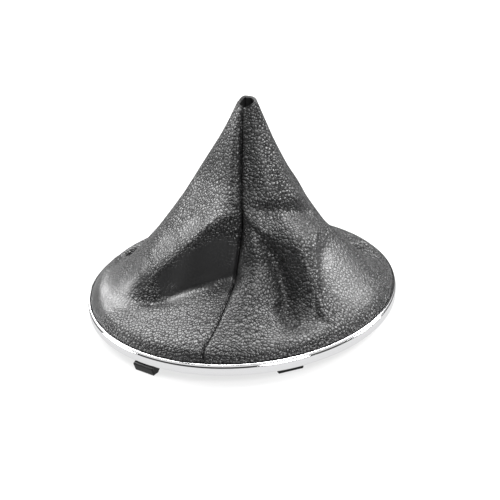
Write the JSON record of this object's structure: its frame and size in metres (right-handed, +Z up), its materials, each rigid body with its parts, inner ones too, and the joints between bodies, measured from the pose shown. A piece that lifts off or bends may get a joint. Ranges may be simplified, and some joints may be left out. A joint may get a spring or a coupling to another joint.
{
  "type": "gear lever gaiter",
  "caption": "Leather cone for a gear lever, sewn front and rear, held between a black plastic carrier with clips and a bright round trim ring.",
  "frame": {"origin": "under the middle of the ring, level with the tips of the clips", "axes": "+Z up through the mouth, -Y towards the front seam, +X to the right"},
  "size_m": [0.1524, 0.1524, 0.1071],
  "materials": {
    "leather": "black pebble-grained leather with a soft sheen",
    "carrier": "black moulded plastic, satin",
    "trim": "bright chrome plating"
  },
  "bodies": {
    "root": {"left_panel": "leather", "right_panel": "leather", "carrier_frame": "carrier", "chrome_trim_ring": "trim"}
  },
  "joints": []
}
